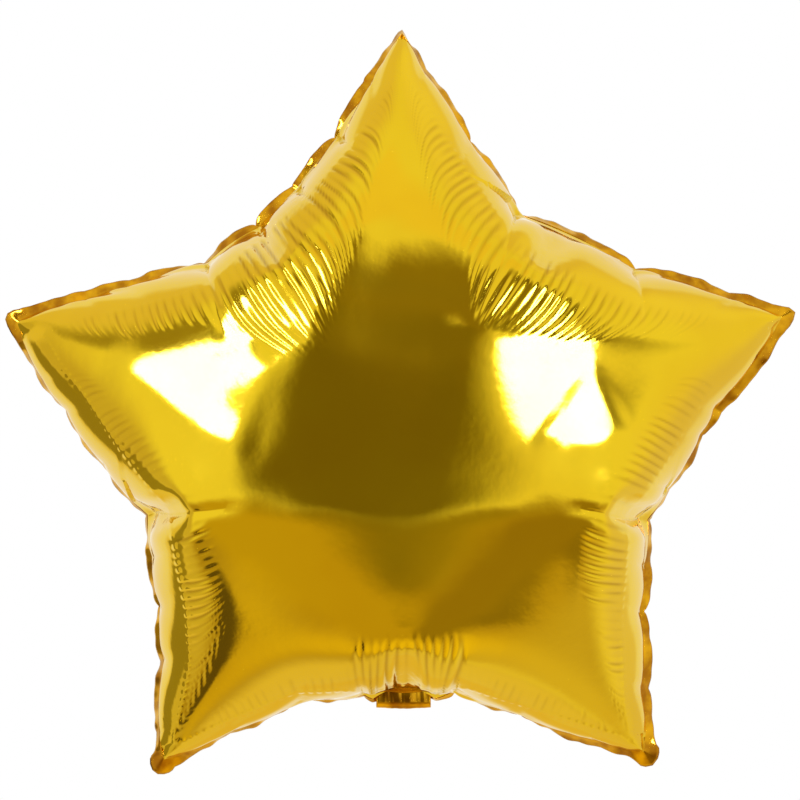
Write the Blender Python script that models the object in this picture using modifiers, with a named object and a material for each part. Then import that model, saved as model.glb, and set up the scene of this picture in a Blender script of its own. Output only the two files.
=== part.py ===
"""Star foil balloon: a sealed five-pointed bag of metallised film, filled tight with gas.

Metres, +Z up, and the front faces -Y. The origin is the middle of the tail's flat outer face.
"""

import math

import bmesh
import bpy
from mathutils import Vector

OBJECT_NAME = "star_foil_balloon"
BODY_NAME = "star_balloon"

# Usual reach of each kind of corner, from the star's centre to the outer edge of the sealed border.
# The film bunches up at a notch, at a shoulder and at both ends of the neck, but not at a tip.
TIP_REACH = 0.2324
NOTCH_REACH = 0.1482
SHOULDER_REACH = 0.1676
NECK_REACH = 0.1496
USUAL_REACH = {"tip": TIP_REACH, "notch": NOTCH_REACH, "shoulder": SHOULDER_REACH, "neck": NECK_REACH}

# The corners seen from the front, anticlockwise from the top tip: each one's kind, its angle
# from +X in degrees, and how far it stands out past the usual reach of its kind
OUTLINE = (
    ("tip", 90.2, -0.0020),
    ("shoulder", 102.7, 0.0047),
    ("notch", 138.7, 0.0017),
    ("tip", 163.7, 0.0032),
    ("notch", 196.9, 0.0052),
    ("tip", 233.5, 0.0019),
    ("neck", 261.7, 0.0017),
    ("neck", 283.0, -0.0018),
    ("tip", 308.9, -0.0051),
    ("notch", 339.8, -0.0022),
    ("tip", 377.1, 0.0018),
    ("shoulder", 397.3, -0.0046),
    ("notch", 423.6, -0.0048),
)

# Sealed border, where the front and the back film are welded together
BORDER_WIDTH = 0.0055
BORDER_THICKNESS = 0.0008
BORDER_RIPPLE = 0.0012

# Swelling of the bag: height of each side at the star's centre, and how full it stays near the seam
HALF_DEPTH = 0.104
TIP_FULLNESS = 2.55
NOTCH_FULLNESS = 5.2

# Creases that run inwards from each corner where the film bunches up
CREASE_DEPTH = {"notch": 0.011, "shoulder": 0.004, "neck": 0.007}
CREASE_LENGTH = 0.060
CREASE_HALF_WIDTH = 0.011
NOTCH_NICK = 0.004

# Gathers that stand across the seam on both sides of a crease
GATHER_PITCH = 0.006
SMOOTH_PITCH = 0.017
GATHER_DEPTH = 0.0024
GATHER_SPAN = 0.062
GATHER_LENGTH = 0.070

# Tail with the filling neck, folded back under the bag
TAIL_WIDTH = 0.031
TAIL_THICKNESS = 0.0010
TAIL_DROP = 0.002
TAIL_OVERLAP = 0.003
TAIL_BEND_RADIUS = 0.0035
TAIL_FLAT_LENGTH = 0.045
TAIL_CLEARANCE = 0.0015

# Faces: rings from the centre of a side to its seam, columns over the tail and steps round its fold
SIDE_RINGS = 16
TAIL_COLUMNS = 6
TAIL_FOLD_STEPS = 6

FILM_COLOUR = (0.83, 0.55, 0.06, 1.0)
FILM_ROUGHNESS = 0.14
FILM_METALLIC = 1.0


def remove_old_objects():
    for old in list(bpy.data.objects):
        bpy.data.objects.remove(old)


def film_material():
    material = bpy.data.materials.new("gold_film")
    material.use_nodes = True
    shader = material.node_tree.nodes["Principled BSDF"]
    shader.inputs["Base Color"].default_value = FILM_COLOUR
    shader.inputs["Roughness"].default_value = FILM_ROUGHNESS
    shader.inputs["Metallic"].default_value = FILM_METALLIC
    return material


def smooth_step(value):
    value = min(1.0, max(0.0, value))
    return value * value * (3.0 - 2.0 * value)


def turn_between(first, second):
    return (first - second + math.pi) % math.tau - math.pi


def outline_corners():
    """The corners in the plane of the seam, as (x, z), with both sides of the tail's root added."""
    corners = []
    for kind, degrees, beyond in OUTLINE:
        angle = math.radians(degrees)
        reach = USUAL_REACH[kind] + beyond
        corners.append((kind, Vector((reach * math.cos(angle), reach * math.sin(angle)))))
    left_neck = [kind for kind, point in corners].index("neck")
    left, right = corners[left_neck][1], corners[left_neck + 1][1]
    roots = []
    for x in (-TAIL_WIDTH / 2, TAIL_WIDTH / 2):
        share = (x - left.x) / (right.x - left.x)
        roots.append(("tail", Vector((x, left.y + share * (right.y - left.y) - TAIL_DROP))))
    return corners[:left_neck + 1] + roots + corners[left_neck + 1:]


def column_places(length, start_kind, end_kind):
    """Shares of one side where its columns stand: close together by a crease, wider apart elsewhere."""
    if start_kind == end_kind == "tail":
        return [step / TAIL_COLUMNS for step in range(TAIL_COLUMNS)]
    places = [0.0]
    while places[-1] < length:
        from_start = math.inf if start_kind == "tip" else places[-1]
        from_end = math.inf if end_kind == "tip" else length - places[-1]
        spread = smooth_step(min(from_start, from_end) / GATHER_SPAN)
        places.append(places[-1] + GATHER_PITCH + (SMOOTH_PITCH - GATHER_PITCH) * spread)
    return [place / places[-1] for place in places[:-1]]


def border_inset(before, corner, after):
    """Step from the seam out to the border's edge, with the border as wide on both sides of a corner."""
    first = (corner - before).normalized()
    second = (after - corner).normalized()
    outward = Vector((first.y, -first.x))
    middle = (outward + Vector((second.y, -second.x))).normalized()
    return middle * (BORDER_WIDTH / middle.dot(outward))


def seam_corners(corners):
    """The corners moved in from the border's outer edge to the seam."""
    inner = []
    for index, (kind, corner) in enumerate(corners):
        after = corners[(index + 1) % len(corners)][1]
        inner.append((kind, corner - border_inset(corners[index - 1][1], corner, after)))
    return inner


class Column:
    """A line of vertices from the centre of a side out to the seam, and on across the border."""

    def __init__(self, edge, inset, inner):
        self.edge = edge
        self.seam = edge - inset
        self.fold = 0.0
        self.gather = 0.0
        self.ripple = 0.0
        self.place_in_arm(inner)

    def place_in_arm(self, inner):
        """Find how near the column is to a notch, from 0 to 1, and how near to its arm's far side."""
        turns = {"tip": [], "notch": []}
        for index, (kind, corner) in enumerate(inner):
            turn = turn_between(math.atan2(self.seam.y, self.seam.x), math.atan2(corner.y, corner.x))
            if kind in ("tip", "notch", "neck"):
                turns["tip" if kind == "tip" else "notch"].append((abs(turn), turn, index))
        to_tip, turn, arm = min(turns["tip"])
        to_notch = min(turns["notch"])[0]
        self.notch_share = to_tip / (to_tip + to_notch)
        tip = inner[arm][1]
        far_corner = inner[arm - 1 if turn > 0.0 else (arm + 1) % len(inner)][1]
        side = tip - far_corner
        self.far_share = max(0.0, self.seam.cross(side) / tip.cross(side))


def star_columns():
    corners = outline_corners()
    inner = seam_corners(corners)
    columns = []
    for index, (kind, corner) in enumerate(corners):
        next_kind, next_corner = corners[(index + 1) % len(corners)]
        length = (next_corner - corner).length
        places = column_places(length, kind, next_kind)
        for step, place in enumerate(places):
            before = corners[index - 1][1] if step == 0 else corner
            edge = corner.lerp(next_corner, place)
            inset = border_inset(before, edge, next_corner)
            if step == 0 and kind == "notch":
                edge = edge * (1.0 - NOTCH_NICK / edge.length)
            from_start = math.inf if kind == "tip" else place * length
            from_end = math.inf if next_kind == "tip" else (1.0 - place) * length
            number = step if from_start <= from_end else len(places) - step
            strength = 1.0 - smooth_step(min(from_start, from_end) / GATHER_SPAN)
            column = Column(edge, inset, inner)
            column.gather = strength if number % 2 else -strength
            column.ripple = 0.0 if kind == "tail" and (next_kind == "tail" or step == 0) else column.gather
            column.fold = CREASE_DEPTH.get(kind, 0.0) if step == 0 else 0.0
            columns.append(column)
    return columns


def film_height(column, reach, creases):
    """Height of the film over the seam's plane, at a share of the way from the centre to the seam."""
    fullness = TIP_FULLNESS + (NOTCH_FULLNESS - TIP_FULLNESS) * column.notch_share ** 2
    near_side = 1.0 - reach ** fullness
    far_side = 1.0 - (reach * column.far_share) ** fullness
    height = HALF_DEPTH * math.sqrt(max(0.0, near_side * far_side))
    point = column.seam * reach
    for crease, depth in creases:
        inwards = (crease - point).dot(crease.normalized())
        across = abs((crease - point).cross(crease.normalized()))
        if across < CREASE_HALF_WIDTH:
            fade = 1.0 - smooth_step(inwards / CREASE_LENGTH)
            height -= depth * fade * (1.0 - across / CREASE_HALF_WIDTH)
    from_seam = column.seam.length * (1.0 - reach)
    height += GATHER_DEPTH * column.gather * (1.0 - smooth_step(from_seam / GATHER_LENGTH))
    return max(height, 0.0)


def swollen_bag(columns):
    """A sphere with its poles front and back, pulled into the star: its middle rings make the border."""
    creases = [(column.seam, column.fold) for column in columns if column.fold > 0.0]
    rings = 2 * SIDE_RINGS + 2
    shape = bmesh.new()
    bmesh.ops.create_uvsphere(shape, u_segments=len(columns), v_segments=rings + 1, radius=1.0)
    for vertex in shape.verts:
        down = math.acos(max(-1.0, min(1.0, vertex.co.z)))
        ring = round(down * (rings + 1) / math.pi)
        turn = math.atan2(vertex.co.y, vertex.co.x)
        column = columns[round(turn * len(columns) / math.tau) % len(columns)]
        side = -1.0 if ring <= rings // 2 else 1.0
        from_pole = ring if side < 0.0 else rings + 1 - ring
        if from_pole > SIDE_RINGS:
            place, height, ripple = column.edge, 0.0, BORDER_RIPPLE * column.ripple
        else:
            reach = 1.0 - (1.0 - from_pole / SIDE_RINGS) ** 2
            place = column.seam * reach
            height = film_height(column, reach, creases) if reach < 1.0 else 0.0
            ripple = 0.0
        vertex.co = Vector((place.x, side * (BORDER_THICKNESS / 2 + height) + ripple, place.y))
    return shape


def tail_rise(columns, start):
    """Steepest angle at which the folded tail stays under the film, from (y, z) at the end of its fold."""
    steepest = math.pi / 2
    for column in columns:
        if abs(column.seam.x) > TAIL_WIDTH / 2 + TAIL_CLEARANCE or column.seam.y > 0.0:
            continue
        for step in range(4 * SIDE_RINGS):
            reach = 1.0 - (1.0 - step / (4 * SIDE_RINGS)) ** 2
            across = film_height(column, reach, [])
            if start.x < across < start.x + TAIL_FLAT_LENGTH:
                rise = column.seam.y * reach - TAIL_CLEARANCE - TAIL_THICKNESS / 2 - start.y
                steepest = min(steepest, math.atan2(rise, across - start.x))
    return steepest


def tail_line(columns):
    """Middle of the tail's film from its root to its end, as (y, z), and its slope once it lies flat."""
    root_z = min(column.edge.y for column in columns if abs(column.edge.x) < TAIL_WIDTH / 2)
    fold_end = Vector((2 * TAIL_BEND_RADIUS, root_z))
    slope = tail_rise(columns, fold_end)
    line = [Vector((0.0, root_z + TAIL_OVERLAP))]
    turn = math.pi / 2 + slope
    for step in range(TAIL_FOLD_STEPS + 1):
        angle = turn * step / TAIL_FOLD_STEPS
        line.append(Vector((TAIL_BEND_RADIUS * (1.0 - math.cos(angle)),
                            root_z - TAIL_BEND_RADIUS * math.sin(angle))))
    line.append(line[-1] + Vector((math.cos(slope), math.sin(slope))) * TAIL_FLAT_LENGTH)
    return line, slope


def make_tail(line, helpers):
    shape = bmesh.new()
    bmesh.ops.create_grid(shape, x_segments=1, y_segments=len(line) - 1, size=0.5)
    for vertex in shape.verts:
        station = line[round((vertex.co.y + 0.5) * (len(line) - 1))]
        vertex.co = Vector((vertex.co.x * TAIL_WIDTH, station.x, station.y))
    mesh = bpy.data.meshes.new("tail")
    shape.to_mesh(mesh)
    shape.free()
    tail = bpy.data.objects.new("tail", mesh)
    tail.hide_render = True
    tail.display_type = "WIRE"
    helpers.objects.link(tail)
    thicken = tail.modifiers.new("two films", "SOLIDIFY")
    thicken.thickness = TAIL_THICKNESS
    thicken.offset = 0.0
    thicken.use_even_offset = True
    return tail


def new_collection(name):
    collection = bpy.data.collections.new(name)
    bpy.context.scene.collection.children.link(collection)
    return collection


def main():
    remove_old_objects()
    columns = star_columns()
    line, slope = tail_line(columns)
    tail = make_tail(line, new_collection("joined_shapes"))

    shape = swollen_bag(columns)
    mesh = bpy.data.meshes.new(BODY_NAME)
    shape.to_mesh(mesh)
    shape.free()
    mesh.materials.append(film_material())
    mesh.shade_smooth()
    balloon = bpy.data.objects.new(BODY_NAME, mesh)
    new_collection(OBJECT_NAME).objects.link(balloon)
    join = balloon.modifiers.new("tail", "BOOLEAN")
    join.operation = "UNION"
    join.solver = "EXACT"
    join.object = tail

    flat_middle = (line[-2] + line[-1]) / 2
    face_middle = flat_middle + Vector((math.sin(slope), -math.cos(slope))) * TAIL_THICKNESS / 2
    for placed in (balloon, tail):
        placed.location = (0.0, -face_middle.x, -face_middle.y)


main()
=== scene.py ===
import math

import bmesh
import bpy
import numpy as np
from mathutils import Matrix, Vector, kdtree
from mathutils.geometry import delaunay_2d_cdt


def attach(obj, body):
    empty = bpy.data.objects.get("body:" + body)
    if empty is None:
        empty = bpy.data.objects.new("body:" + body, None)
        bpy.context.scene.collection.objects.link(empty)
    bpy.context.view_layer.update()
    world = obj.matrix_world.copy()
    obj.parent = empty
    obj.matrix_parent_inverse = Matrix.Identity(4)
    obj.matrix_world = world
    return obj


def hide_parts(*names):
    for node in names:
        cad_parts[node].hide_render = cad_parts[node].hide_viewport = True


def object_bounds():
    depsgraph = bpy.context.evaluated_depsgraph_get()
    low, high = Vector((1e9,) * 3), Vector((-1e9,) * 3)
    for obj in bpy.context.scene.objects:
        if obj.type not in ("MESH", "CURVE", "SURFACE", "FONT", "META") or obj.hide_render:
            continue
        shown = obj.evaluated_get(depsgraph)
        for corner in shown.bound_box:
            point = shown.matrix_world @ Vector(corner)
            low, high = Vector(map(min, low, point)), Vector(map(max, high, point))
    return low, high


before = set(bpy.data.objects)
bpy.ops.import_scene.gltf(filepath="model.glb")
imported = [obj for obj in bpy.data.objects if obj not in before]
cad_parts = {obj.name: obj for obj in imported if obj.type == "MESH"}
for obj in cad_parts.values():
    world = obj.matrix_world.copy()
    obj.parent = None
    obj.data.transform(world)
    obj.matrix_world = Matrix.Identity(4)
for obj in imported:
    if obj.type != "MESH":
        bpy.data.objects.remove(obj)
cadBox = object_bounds()

# The middle of the star, seen from the front, and the plane where both films meet
star = {"centreZ": 0.1494, "planeY": -0.0263}
middle = np.array([0, star["planeY"], star["centreZ"]])

# The seam of both films, anticlockwise seen from the front: what each node is, its direction in degrees and
# its reach from the middle of the filled star in metres, and how much of the border's width shows there.
# A pinch is a place where the edge of the film has folded in a little.
seamNodes = [
    ("tip", 90.2, 0.2288, 0.15), ("pinch", 95.2, 0.1992, 0.9), ("shoulder", 102.5, 0.1722, 0.9),
    ("pinch", 113.1, 0.1500, 0.9), ("pinch", 125.0, 0.1442, 0.9), ("notch", 139.2, 0.1488, 0.3),
    ("pinch", 151.5, 0.1761, 0.8), ("pinch", 156.8, 0.1961, 0.8), ("tip", 163.5, 0.2288, 0.9),
    ("pinch", 170.9, 0.2078, 0.1), ("pinch", 175.4, 0.1922, 0.2), ("pinch", 185.3, 0.1708, 0.25),
    ("notch", 197.1, 0.1523, 0.1), ("pinch", 205.6, 0.1584, 0.5), ("pinch", 215.0, 0.1680, 0.5),
    ("pinch", 223.3, 0.1868, 0.5), ("pinch", 230.6, 0.2179, 0.4), ("tip", 233.4, 0.2289, 0.9),
    ("pinch", 239.3, 0.1952, 0.1), ("pinch", 248.8, 0.1594, 0.2), ("neck", 261.3, 0.1486, 0.2),
    ("tail", 263.2, 0.1502, 0.2), ("tail", 265.6, 0.1446, 0.2), ("tail", 274.6, 0.1446, 0.2),
    ("tail", 277.0, 0.1502, 0.2), ("neck", 281.4, 0.1470, 0.2),
    ("pinch", 293.0, 0.1706, 0.3), ("pinch", 303.2, 0.2080, 0.6), ("tip", 307.3, 0.2252, 0.9),
    ("pinch", 313.2, 0.1976, 0.7), ("pinch", 323.4, 0.1664, 0.9), ("pinch", 331.8, 0.1548, 0.7),
    ("notch", 341.1, 0.1466, 0.1), ("pinch", 348.9, 0.1529, 0.3), ("pinch", 360.4, 0.1682, 0.7),
    ("pinch", 365.2, 0.1774, 0.8), ("tip", 377.5, 0.2251, 0.9), ("pinch", 382.8, 0.1997, 0.7),
    ("shoulder", 395.4, 0.1610, 0.8), ("notch", 422.8, 0.1418, 0.2), ("pinch", 437.6, 0.1704, 0.6),
    ("pinch", 447.1, 0.2081, 0.4),
]
# The flat cut is an even star
flatCut = {
    "points": 5,
    "tip": 0.259,
    "notch": 0.203,
    "bunching": 0.45,  # how near to a notch of the cut its creases start, as a share of their final turn
}


# Node trees

class Wire:  # a socket that takes part in sums
    def __init__(self, board, socket):
        self.board = board
        self.socket = socket

    def __neg__(self):
        return self.board.maths("MULTIPLY", self, -1.0)

    def cosine(self):
        return self.board.maths("COSINE", self)

    def ramp(self, low, high):  # 0 at low, 1 at high, with soft ends
        node = self.board.node("ShaderNodeMapRange", {"interpolation_type": "SMOOTHSTEP"},
                               {"Value": self, "From Min": low, "From Max": high})
        return self.board.out(node, "Result")


def overload(name, operation):
    setattr(Wire, "__" + name + "__", lambda one, other: one.board.maths(operation, one, other))
    setattr(Wire, "__r" + name + "__", lambda one, other: one.board.maths(operation, other, one))


for name, operation in (("add", "ADD"), ("sub", "SUBTRACT"), ("mul", "MULTIPLY"), ("truediv", "DIVIDE"),
                        ("pow", "POWER")):
    overload(name, operation)


class Board:  # a node tree that is filled by plain calls
    def __init__(self, tree):
        self.tree = tree
        tree.nodes.clear()

    def node(self, kind, settings=None, inputs=None):
        made = self.tree.nodes.new(kind)
        made.location = (190 * len(self.tree.nodes), 0)
        for name, value in (settings or {}).items():
            setattr(made, name, value)
        for name, value in (inputs or {}).items():
            self.feed(made.inputs[name], value)
        return made

    def feed(self, socket, value):
        if isinstance(value, Wire):
            self.tree.links.new(value.socket, socket)
        else:
            socket.default_value = value

    def out(self, made, name=0):
        return Wire(self, made.outputs[name])

    def maths(self, operation, *values):
        made = self.node("ShaderNodeMath", {"operation": operation})
        for socket, value in zip(made.inputs, values):
            self.feed(socket, value)
        return self.out(made)

    def noise(self, place, scale, detail, distortion=0.0):
        made = self.node("ShaderNodeTexNoise", {}, {"Vector": place, "Scale": scale, "Detail": detail,
                                                    "Distortion": distortion})
        return self.out(made, "Fac")

    def mixColour(self, share, first, second):
        made = self.node("ShaderNodeMix", {"data_type": "RGBA"})
        self.feed(made.inputs[0], share)
        self.feed(made.inputs[6], first)
        self.feed(made.inputs[7], second)
        return self.out(made, 2)

    def mixShader(self, share, first, second):
        made = self.node("ShaderNodeMixShader")
        for socket, value in zip(made.inputs, (share, self.out(first), self.out(second))):
            self.feed(socket, value)
        return made

    def finish(self, shader):
        self.node("ShaderNodeOutputMaterial", {}, {"Surface": self.out(shader)})


def newMaterial(name):  # with its board, and the place on the object
    material = bpy.data.materials.new(name)
    material.use_nodes = True
    board = Board(material.node_tree)
    return material, board, board.out(board.node("ShaderNodeTexCoord"), "Object")


# Camera and studio

view = {
    "distance": 1.6,     # from the seam plane
    "aimX": -0.0020,     # the picture's centre, seen from the star's
    "aimZ": 0.0205,
    "width": 0.454,      # of the picture at the seam plane
    "sensor": 36.0,
}

studio = {
    "floorDrop": 0.45,   # below the lowest tip
    "floorReach": 2.6,
    "floorColour": (0.86, 0.85, 0.83, 1),
    "floorRoughness": 0.8,
    "floorFade": (0.35, 0.98),  # shares of its reach between which it fades into the white background
    "worldLight": 0.55,
    "tentRadius": 6.0,
}

lamps = [  # name, direction from the star (turn to the right, lift), distance, width, height, watts
    ("leftBox", -60, 40, 2.4, 1.2, 1.2, 14),
    ("rightBox", 60, 40, 2.4, 1.2, 1.2, 14),
    ("backBox", 180, 50, 2.4, 1.2, 1.2, 8),
]


def towards(turn, lift):
    turn, lift = math.radians(turn), math.radians(lift)
    return Vector((math.sin(turn) * math.cos(lift), -math.cos(turn) * math.cos(lift), math.sin(lift)))


def newObject(name, data):
    made = bpy.data.objects.new(name, data)
    bpy.context.scene.collection.objects.link(made)
    return made


def addCamera():
    camera = newObject("camera", bpy.data.cameras.new("camera"))
    camera.location = (view["aimX"], star["planeY"] - view["distance"], star["centreZ"] + view["aimZ"])
    camera.rotation_euler = (math.radians(90), 0, 0)
    camera.data.sensor_width = view["sensor"]
    camera.data.lens = view["sensor"] * view["distance"] / view["width"]
    bpy.context.scene.camera = camera


def addWorld():
    world = bpy.data.worlds.new("studio")
    world.use_nodes = True
    bpy.context.scene.world = world
    board = Board(world.node_tree)
    path = board.node("ShaderNodeLightPath")
    seen = (board.out(path, "Is Camera Ray") + board.out(path, "Is Glossy Ray")
            + board.out(path, "Is Transmission Ray")).ramp(0.0, 1.0)
    strength = seen * (1 - studio["worldLight"]) + studio["worldLight"]
    background = board.node("ShaderNodeBackground", {}, {"Color": (1, 1, 1, 1), "Strength": strength})
    board.node("ShaderNodeOutputWorld", {}, {"Surface": board.out(background)})


def addFloor():
    low = cadBox[0][2] - studio["floorDrop"]
    reach = studio["floorReach"]
    bpy.ops.mesh.primitive_circle_add(vertices=96, radius=reach, fill_type="NGON", location=(0, 0, low))
    floor = bpy.context.object
    floor.name = "floor"
    material, board, place = newMaterial("floorPaint")
    away = board.node("ShaderNodeVectorMath", {"operation": "LENGTH"}, {0: place})
    paint = board.node("ShaderNodeBsdfPrincipled", {}, {"Base Color": studio["floorColour"],
                                                        "Roughness": studio["floorRoughness"]})
    clear = board.node("ShaderNodeBsdfTransparent")
    fade = board.out(away, "Value").ramp(*(reach * share for share in studio["floorFade"]))
    board.finish(board.mixShader(fade, paint, clear))
    floor.data.materials.append(material)
    floor.visible_glossy = False


def addLamps():
    aim = Vector(middle)
    for name, turn, lift, distance, width, height, watts in lamps:
        data = bpy.data.lights.new(name, "AREA")
        data.shape = "RECTANGLE"
        data.size, data.size_y = width, height
        data.energy = watts
        lamp = newObject(name, data)
        lamp.location = aim + towards(turn, lift) * distance
        lamp.rotation_euler = (aim - lamp.location).to_track_quat("-Z", "Y").to_euler()
        lamp.visible_camera = False
        lamp.visible_glossy = False


# The studio tent stands round the balloon. Its cloth has bright panels on both sides of the camera, is dark
# where the camera stands, and is pale behind the balloon, where it opens to the white background.
tent = {
    "high": (0.90, 0.77, 0.22, 1),
    "low": (0.45, 0.30, 0.05, 1),
    "lifts": (-38, -16),         # degrees between which low turns into high
    "side": (0.81, 0.63, 0.24, 1),
    "sideReach": (-0.25, 0.14),  # as the share of the direction that points to the camera
    "rear": (0.90, 0.81, 0.72, 1),
    "rearLow": (0.80, 0.58, 0.14, 1),
    "rearLifts": (-34, -24),
    "rearReach": (-0.70, -0.58),
    "opening": (-0.985, -0.95),
    # turn to the right and lift of the middle, half width and height, lean in degrees, soft edge, colour
    "patches": [
        (-4, -34, 38, 20, 0, 0.30, (0.55, 0.37, 0.03)),
        (26, -31, 17, 12, 0, 0.50, (0.32, 0.21, 0.02)),
        (1, -17.5, 18, 5.5, 0, 0.70, (0.30, 0.21, 0.015)),
        (48, -40, 16, 3.5, -14, 0.40, (0.27, 0.18, 0.02)),
        (0, -68, 71, 22, 0, 0.49, (0.90, 0.64, 0.04)),
        (-5, 0, 15.5, 15, 8, 0.45, (0.18, 0.13, 0.01)),
        (3.5, 27, 9.5, 19, 0, 0.50, (0.27, 0.19, 0.02)),
        (-5, 15, 11, 8, 0, 0.50, (0.22, 0.16, 0.015)),
        (0, 62, 40, 13, 0, 0.30, (0.92, 0.72, 0.18)),
        (-70, -50, 15, 5, 10, 0.40, (0.12, 0.08, 0.02)),
        (93, -60, 34, 22, 0, 0.70, (0.72, 0.54, 0.14)),
        (-96, -5, 14, 42, 0, 0.70, (0.63, 0.49, 0.16)),
        (115, 7, 24, 80, 0, 0.70, (0.93, 0.78, 0.26)),
        (-117, -18, 11, 22, 0, 0.16, (0.32, 0.245, 0.05)),
        (-126, 22, 30, 20, 0, 0.20, (0.80, 0.63, 0.22)),
        (124, -19, 23, 34, 0, 0.44, (0.81, 0.65, 0.38)),
        (-68, 29, 28, 6, -22, 0.50, (0.34, 0.26, 0.05)),
        (40, 20, 32, 6, -14, 0.45, (0.24, 0.18, 0.03)),
        (-59, 19.7, 15, 3.3, -9, 0.16, (14, 14, 14)),
        (-38, 14, 12, 2.9, -24, 0.16, (14, 14, 14)),
        (37.5, 9.1, 18.5, 5.0, 4, 0.15, (14, 14, 14)),
        (22, 7.5, 8.5, 6.5, 0, 0.20, (14, 14, 14)),
    ],
}


def addTent():
    bpy.ops.mesh.primitive_uv_sphere_add(segments=96, ring_count=48, radius=studio["tentRadius"],
                                         location=tuple(middle))
    dome = bpy.context.object
    dome.name = "tent"
    dome.data.shade_smooth()
    material, board, place = newMaterial("tentCloth")
    heading = board.node("ShaderNodeVectorMath", {"operation": "NORMALIZE"}, {0: place})
    split = board.node("ShaderNodeSeparateXYZ", {}, {"Vector": board.out(heading, "Vector")})
    x, y, z = (board.out(split, axis) for axis in "XYZ")
    turn = board.maths("ARCTAN2", x, -y) * math.degrees(1)
    lift = board.maths("ARCSINE", z) * math.degrees(1)
    tone = board.mixColour(lift.ramp(*tent["lifts"]), tent["low"], tent["high"])
    tone = board.mixColour((-y).ramp(*tent["sideReach"]), tent["side"], tone)
    for aside, up, wide, tall, lean, edge, colour in tent["patches"]:
        c, s = polar(lean, 1)
        across = ((turn - aside) * c + (lift - up) * s) / wide
        along = ((lift - up) * c - (turn - aside) * s) / tall
        away = (across * across + along * along) ** 0.5
        tone = board.mixColour(1 - away.ramp(1 - edge, 1 + edge), tone, (*colour, 1))
    rear = board.mixColour(lift.ramp(*tent["rearLifts"]), tent["rearLow"], tent["rear"])
    tone = board.mixColour((-y).ramp(*tent["rearReach"]), rear, tone)
    glow = board.node("ShaderNodeEmission", {}, {"Color": tone, "Strength": 1.0})
    clear = board.node("ShaderNodeBsdfTransparent")
    board.finish(board.mixShader((-y).ramp(*tent["opening"]), clear, glow))
    material.cycles.emission_sampling = "NONE"
    dome.data.materials.append(material)
    for kind in ("camera", "diffuse", "shadow", "transmission", "volume_scatter"):
        setattr(dome, "visible_" + kind, False)


# The flat cut of both films

film = {
    "knot": 0.006,       # spacing of the cloth's points
    "border": 0.006,     # width of the welded border
    "bluntness": 0.55,   # of its corners
    "frames": 70,
    "pointMass": 0.045,  # of the cloth, in kilograms
    "lift": 0.004,       # how far the films start apart
    "liftReach": 0.03,   # how far in from the seam they are that far apart
    "margin": 0.02,      # of the lattice round the star, before it is cut to shape
    "clearance": 0.65,   # of the lattice from the seam, in knots
    "fitNear": 0.004,    # the seam's move is spread inward by (distance + near) to this power
    "fitPower": -3,
    "seamBlend": 0.014,  # how far in the film is led to the seam's own line
    "bow": 0.045,        # how far the edge bows out between nodes, as a share of their distance
    "calm": 1.5,         # how far crumples are smoothed, in knots
    "sway": 0.0010,      # how far the border swings to the front and the back
    "swayWaves": ((7, 1.0, 1.0), (12, 0.7, 4.1), (19, 0.5, 2.2)),  # times round the star, height, start
}
clothRules = {
    "quality": 6, "air_damping": 2.0, "use_pressure": True, "uniform_pressure_force": 40.0,
    "tension_stiffness": 400, "compression_stiffness": 20, "shear_stiffness": 120, "bending_stiffness": 0.05,
    "tension_damping": 5, "compression_damping": 5, "shear_damping": 5, "bending_damping": 0.5,
}


def polar(angle, reach):
    return np.array([reach * math.cos(math.radians(angle)), reach * math.sin(math.radians(angle))])


nodeKinds = [node[0] for node in seamNodes]
nodeAngles, nodeReaches, nodeShowing = np.array([node[1:] for node in seamNodes]).T
nodeSpots = np.array([polar(angle, reach) for angle, reach in zip(nodeAngles, nodeReaches)])
ringAngles = np.r_[nodeAngles, nodeAngles[0] + 360]


def closed(outline):
    return np.r_[outline, outline[:1]]


def unit(vectors):
    return vectors / np.linalg.norm(vectors, axis=1)[:, None]


def blend(weights, sources):
    return np.einsum("nk,nkc->nc", weights, sources)


def widened(outline, width):
    # the outline moved out by width, with blunt corners
    before = np.roll(outline, 1, axis=0)
    after = np.roll(outline, -1, axis=0)
    inTurn, outTurn = unit(outline - before), unit(after - outline)
    inSide = np.c_[inTurn[:, 1], -inTurn[:, 0]]
    outSide = np.c_[outTurn[:, 1], -outTurn[:, 0]]
    corner = unit(inSide + outSide)
    share = np.maximum(film["bluntness"], (corner * inSide).sum(1))
    return outline + corner * (width / share)[:, None]


def spaced(outline, spacing):
    # points along a closed outline; also the place of each corner among them
    points, corners = [], []
    for a, b in zip(outline, np.roll(outline, -1, axis=0)):
        corners.append(len(points))
        count = max(1, round(np.linalg.norm(b - a) / spacing))
        points += [a + (b - a) * k / count for k in range(count)]
    return np.array(points), corners


def isInside(outline, points):
    inside = np.zeros(len(points), bool)
    x, y = points.T
    for a, b in zip(outline, np.roll(outline, -1, axis=0)):
        crosses = (a[1] > y) != (b[1] > y)
        inside ^= crosses & (x < (b[0] - a[0]) * (y - a[1]) / (b[1] - a[1] + 1e-15) + a[0])
    return inside


def nearestOn(line, points):
    # For each point: how far off the line of corners it lies, which stretch is next to it, the share of that
    # stretch where it is nearest, and whether the point lies to the left
    away = np.full(len(points), 9.0)
    stretch = np.zeros(len(points), int)
    share = np.zeros(len(points))
    left = np.zeros(len(points), bool)
    for k, (a, b) in enumerate(zip(line, line[1:])):
        ahead = b - a
        along = np.clip(((points - a) @ ahead) / (ahead @ ahead), 0, 1)
        gap = points - a - along[:, None] * ahead
        length = np.linalg.norm(gap, axis=1)
        better = length < away - 1e-12
        away[better] = length[better]
        stretch[better] = k
        share[better] = along[better]
        left[better] = (gap @ np.array([-ahead[1], ahead[0]]) > 0)[better]
    return away, stretch, share, left


def distanceTo(outline, points):
    return nearestOn(closed(outline), points)[0]


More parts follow.
